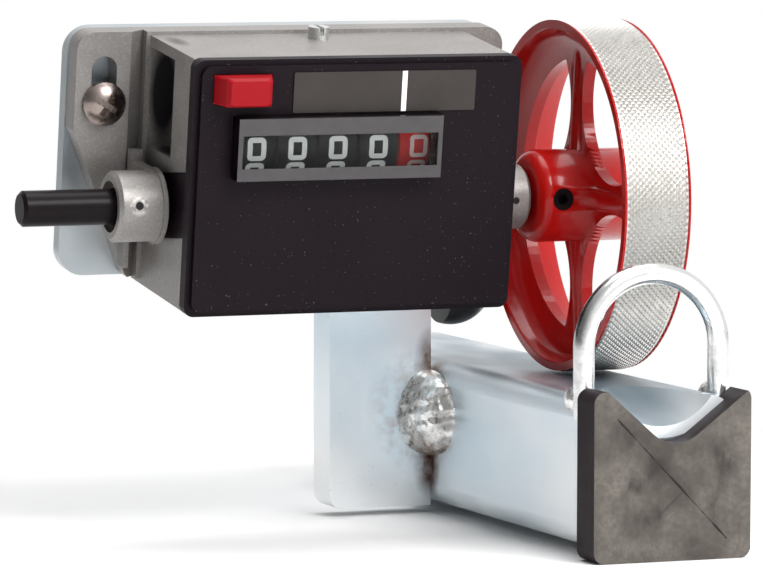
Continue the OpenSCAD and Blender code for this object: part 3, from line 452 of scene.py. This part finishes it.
def knurl():
    around, across = 332, 20
    x0, x1 = WHEEL_X
    top = WHEEL_R - 0.02
    verts, faces = [], []
    for j in range(across + 1):
        x = x0 + (x1 - x0) * j / across
        for i in range(around):
            a = 2 * math.pi * i / around
            edge = j in (0, across)
            r = top - (KNURL_DEEP if (i + j) % 2 == 0 or edge else 0)
            verts.append(head(x, r * math.cos(a), r * math.sin(a)))
    for j in range(across):
        for i in range(around):
            k = (i + 1) % around
            p = [j * around + i, j * around + k, (j + 1) * around + k, (j + 1) * around + i]
            if (i + j) % 2 == 0:
                faces += [(p[0], p[1], p[2]), (p[0], p[2], p[3])]
            else:
                faces += [(p[0], p[1], p[3]), (p[1], p[2], p[3])]
    inner = len(verts)
    for j, x in ((0, x0), (1, x1)):
        for i in range(around):
            a = 2 * math.pi * i / around
            r = WHEEL_R - 1.1
            verts.append(head(x, r * math.cos(a), r * math.sin(a)))
    for i in range(around):
        k = (i + 1) % around
        faces.append((i, inner + i, inner + k, k))
        last = across * around
        faces.append((last + k, inner + around + k, inner + around + i, last + i))
        faces.append((inner + i, inner + around + i, inner + around + k, inner + k))
    obj = make("tread_knurl", verts, faces, "drive", looks["tread"])
    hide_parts("knurled_tread")


knurl()

# ---------- the wheel, shaded smooth ----------


def smooth_wheel():
    """The wheel's own mesh with its facets shaded as the turned and blended surfaces they stand for."""
    node = frame["nodes"]["measuring_wheel"]
    bm = bmesh.new()
    bm.from_mesh(node.data)
    bmesh.ops.remove_doubles(bm, verts=bm.verts, dist=2e-6)
    mesh = bpy.data.meshes.new("wheel_red")
    bm.to_mesh(mesh)
    bm.free()
    obj = bpy.data.objects.new("wheel_red", mesh)
    bpy.context.scene.collection.objects.link(obj)
    obj.matrix_world = node.matrix_world.copy()
    mesh.materials.clear()
    mesh.materials.append(looks["wheel"])
    mesh.polygons.foreach_set("use_smooth", [True] * len(mesh.polygons))
    mesh.set_sharp_from_angle(angle=math.radians(28))
    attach(obj, "drive")
    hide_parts("measuring_wheel")


smooth_wheel()

# ---------- weld bead in the corner of the frame ----------


def weld_bead():
    """A lumpy dome between the upright's face and the tube's side."""
    around, up = 48, 60
    verts = []
    for j in range(up + 1):
        turn = math.pi * (j / up - 0.5)
        for i in range(around + 1):
            a = math.pi / 2 * i / around
            r = (9.9 + 7.0 * math.sin(a) ** 3) * (1 - 0.14 * math.sin(2 * a)) * math.cos(turn) ** 0.85
            x, y = CORNER_X - r * math.cos(a), CORNER_Y - r * math.sin(a)
            z = WELD_Z + WELD_HALF * math.sin(turn)
            spot = Vector((x, y, z))
            lump = 0.9 * noise.noise(spot * 0.33) + 0.45 * noise.noise(spot * 0.9)
            ring = 0.25 * math.sin(z * 1.7 + 0.4 * y)
            k = max(0.0, math.cos(turn)) * (lump + ring) / max(r, 1)
            verts.append(world(x - k * r * math.cos(a) + 0.15, y - k * r * math.sin(a) + 0.15, z))
    faces = []
    for j in range(up):
        for i in range(around):
            k = j * (around + 1) + i
            faces.append((k, k + 1, k + around + 2, k + around + 1))
    obj = make("weld_bead", verts, faces, "stand", looks["weld"], True)
    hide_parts("frame_weld")


weld_bead()

# ---------- figures on the number wheels ----------


A, B, M = 1.9, 2.45, 0.1
FIGURES = [
    [[(-A, 0), (-A, B), (A, B), (A, -B), (-A, -B), (-A, 0)]],
    [[(-1.1, 1.3), (0.4, B), (0.4, -B)]],
    [[(-A, 1.2), (-A, B), (A, B), (A, 0.3), (-A, -B), (A, -B)]],
    [[(-A, B), (A, B), (A, M), (-0.6, M)], [(A, M), (A, -B), (-A, -B)]],
    [[(0.9, -B), (0.9, B), (-A, -0.9), (A, -0.9)]],
    [[(A, B), (-1.7, B), (-1.7, 0.4), (A, 0.4), (A, -B), (-A, -B)]],
    [[(A, B), (-A, B), (-A, -B), (A, -B), (A, M), (-A, M)]],
    [[(-A, B), (A, B), (-0.5, -B)]],
    [[(-A, 0), (-A, B), (A, B), (A, -B), (-A, -B), (-A, 0)], [(-A, M), (A, M)]],
    [[(-A, -B), (A, -B), (A, B), (-A, B), (-A, M), (A, M)]],
]


def rounded(points, radius=0.75):
    """The points of a line with its corners rounded, and no stretch longer than 0.5 mm."""
    points = [Vector(p) for p in points]
    out = [points[0]]
    for i in range(1, len(points) - 1):
        u = (points[i] - points[i - 1]).normalized()
        v = (points[i + 1] - points[i]).normalized()
        a, b, c = points[i] - u * radius, points[i], points[i] + v * radius
        out += [a * (1 - t) ** 2 + b * 2 * t * (1 - t) + c * t * t for t in (0, 0.2, 0.4, 0.6, 0.8, 1)]
    out.append(points[-1])
    fine = [out[0]]
    for p in out[1:]:
        step = p - fine[-1]
        parts = max(1, math.ceil(step.length / 0.5))
        start = fine[-1]
        fine += [start + step * (k / parts) for k in range(1, parts + 1)]
    return fine


def figure(lines, width):
    """Ribbons with round ends along the lines of a figure: points and faces, flat, in mm."""
    verts, faces = [], []
    for line in lines:
        pts = rounded(line)
        base = len(verts)
        for i, p in enumerate(pts):
            d = (pts[min(i + 1, len(pts) - 1)] - pts[max(i - 1, 0)]).normalized()
            side = Vector((-d.y, d.x)) * width / 2
            verts += [p + side, p - side]
        for i in range(len(pts) - 1):
            k = base + 2 * i
            faces.append((k, k + 1, k + 3, k + 2))
        for p, q in ((pts[0], pts[1]), (pts[-1], pts[-2])):
            out = (p - q).normalized()
            start = math.atan2(out.y, out.x) - math.pi / 2
            base = len(verts)
            verts.append(p)
            for k in range(9):
                a = start + math.pi * k / 8
                verts.append(p + Vector((math.cos(a), math.sin(a))) * width / 2)
            faces += [(base, base + 1 + k, base + 2 + k) for k in range(8)]
    return verts, faces


def figures():
    r = DRUM_R + 0.04
    bodies = ["wheel_1000m", "wheel_100m", "wheel_10m", "wheel_m", "wheel_dm"]
    for k, (x, body) in enumerate(zip(DRUM_X, bodies)):
        verts, faces = [], []
        for d, lines in enumerate(FIGURES):
            flat, parts = figure(lines, 1.15 if k == 4 else 1.4)
            base = len(verts)
            for v in flat:
                a = math.pi - v.y / DRUM_R - math.radians(36 * d)
                verts.append(head(x + v.x, DRUM_Y + r * math.cos(a), DRUM_Z + r * math.sin(a)))
            faces += [[base + i for i in part] for part in parts]
        make("figures_" + body, verts, faces, body, looks["pink" if k == 4 else "white"])


figures()

# ---------- label and window ----------


def corners(field, y):
    """The corners of an upright field of the counter's front."""
    (x0, z0), (x1, z1) = field
    return [head(x, y, z) for x, z in ((x0, z0), (x1, z0), (x1, z1), (x0, z1))]


def label_bar():
    """The printed bar that divides the label."""
    make("label_bar", corners(LABEL_BAR, LABEL_Y), [(0, 1, 2, 3)], "counter", looks["white"])


def window_frame():
    """The matt border round the clear field of the window, and the window's dark sides."""
    ring = [(k, (k + 1) % 4, 4 + (k + 1) % 4, 4 + k) for k in range(4)]
    border = corners(WINDOW_OUT, WINDOW_Y) + corners(WINDOW_CLEAR, WINDOW_Y)
    make("window_border", border, ring, "counter", looks["border"])
    sides = corners(WINDOW_OUT, WINDOW_Y + 0.02) + corners(WINDOW_OUT, COVER_Y - 0.05)
    make("window_sides", sides, ring, "counter", looks["cover"])


label_bar()
window_frame()

# ---------- stage ----------


def stage_floor(half=4.0):
    """A pale floor that keeps the object's shadow and turns white to the camera further out."""
    z = FLOOR_Z * MM
    mesh = bpy.data.meshes.new("floor")
    square = [(-half, -half, z), (half, -half, z), (half, half, z), (-half, half, z)]
    mesh.from_pydata(square, [], [(0, 1, 2, 3)])
    floor = bpy.data.objects.new("floor", mesh)
    bpy.context.scene.collection.objects.link(floor)
    m = Mat("floor_pale", rough=0.9, gloss=0.1).color((0.96, 0.96, 0.96, 1))
    away = m.vector("DISTANCE", m.pos, (-0.03, 0.02, 0))
    fade = m.remap(away, (0.08, 0.27), (0, 1), "SMOOTHSTEP")
    seen = m.node("ShaderNodeLightPath").outputs["Is Camera Ray"]
    glow = m.node("ShaderNodeEmission")
    blend = m.node("ShaderNodeMixShader")
    m.link(m.math("MULTIPLY", fade, seen), blend.inputs["Fac"])
    m.link(m.p.outputs["BSDF"], blend.inputs[1])
    m.put(glow.inputs["Color"], (1, 1, 1, 1))
    m.link(glow.outputs["Emission"], blend.inputs[2])
    m.link(blend.outputs["Shader"], m.t.nodes["Material Output"].inputs["Surface"])
    mesh.materials.append(m.m)


def studio():
    """White to the camera, to metal and to glass; plainer light on the object, dim from -X."""
    shader = bpy.data.worlds.new("studio")
    shader.use_nodes = True
    bpy.context.scene.world = shader
    w = Tree(shader.node_tree)
    rays = w.node("ShaderNodeLightPath").outputs
    seen = w.math("MAXIMUM", rays["Is Camera Ray"], rays["Is Glossy Ray"])
    seen = w.math("MAXIMUM", seen, rays["Is Transmission Ray"])
    level = w.remap(seen, (0, 1), (0.45, 1.0))
    dim = w.remap(w.axis(w.coords("Generated"), "X"), (-0.9, 0.0), (0.12, 1.0))
    strength = w.math("MAXIMUM", w.math("MULTIPLY", level, dim), rays["Is Camera Ray"])
    back = w.t.nodes["Background"]
    w.link(strength, back.inputs["Strength"])
    w.put(back.inputs["Color"], (1, 1, 1, 1))


stage_floor()
studio()


def area(name, place, aim, size_m, power):
    lamp = bpy.data.lights.new(name, "AREA")
    lamp.shape = "RECTANGLE"
    lamp.size, lamp.size_y = size_m
    lamp.energy = power
    obj = bpy.data.objects.new(name, lamp)
    bpy.context.scene.collection.objects.link(obj)
    obj.location = place
    obj.rotation_euler = (Vector(aim) - Vector(place)).to_track_quat("-Z", "Y").to_euler()


CENTRE = (-0.05, 0, 0.07)
area("key", (0.25, -1.0, 0.95), CENTRE, (0.7, 0.5), 18)
area("fill", (0.9, -0.9, 0.5), CENTRE, (0.8, 0.8), 3.5)
area("top", (0.0, 0.1, 1.2), CENTRE, (0.8, 0.8), 9)

# ---------- camera, at the photograph's place ----------

AZ, EL, ROLL = math.radians(21.839), math.radians(4.780), math.radians(0.101)
DIST, FOCAL_PX = 1.52586, 5713.3
right = Vector((math.cos(AZ), -math.sin(AZ), 0))
up = Vector((math.sin(EL) * math.sin(AZ), math.sin(EL) * math.cos(AZ), math.cos(EL)))
ahead = Vector((math.cos(EL) * math.sin(AZ), math.cos(EL) * math.cos(AZ), -math.sin(EL)))
right2 = math.cos(ROLL) * right + math.sin(ROLL) * up
up2 = -math.sin(ROLL) * right + math.cos(ROLL) * up
cam = bpy.data.cameras.new("camera")
cam.sensor_fit = "HORIZONTAL"
cam.sensor_width = 36
cam.lens = FOCAL_PX * 36 / 763
cam.clip_end = 50
camera = bpy.data.objects.new("camera", cam)
bpy.context.scene.collection.objects.link(camera)
turn = Matrix((right2, up2, -ahead)).transposed().to_4x4()
camera.matrix_world = Matrix.Translation(Vector((-0.05136, 0, 0.06481)) - ahead * DIST) @ turn
bpy.context.scene.camera = camera
bpy.context.scene.view_settings.view_transform = "Standard"
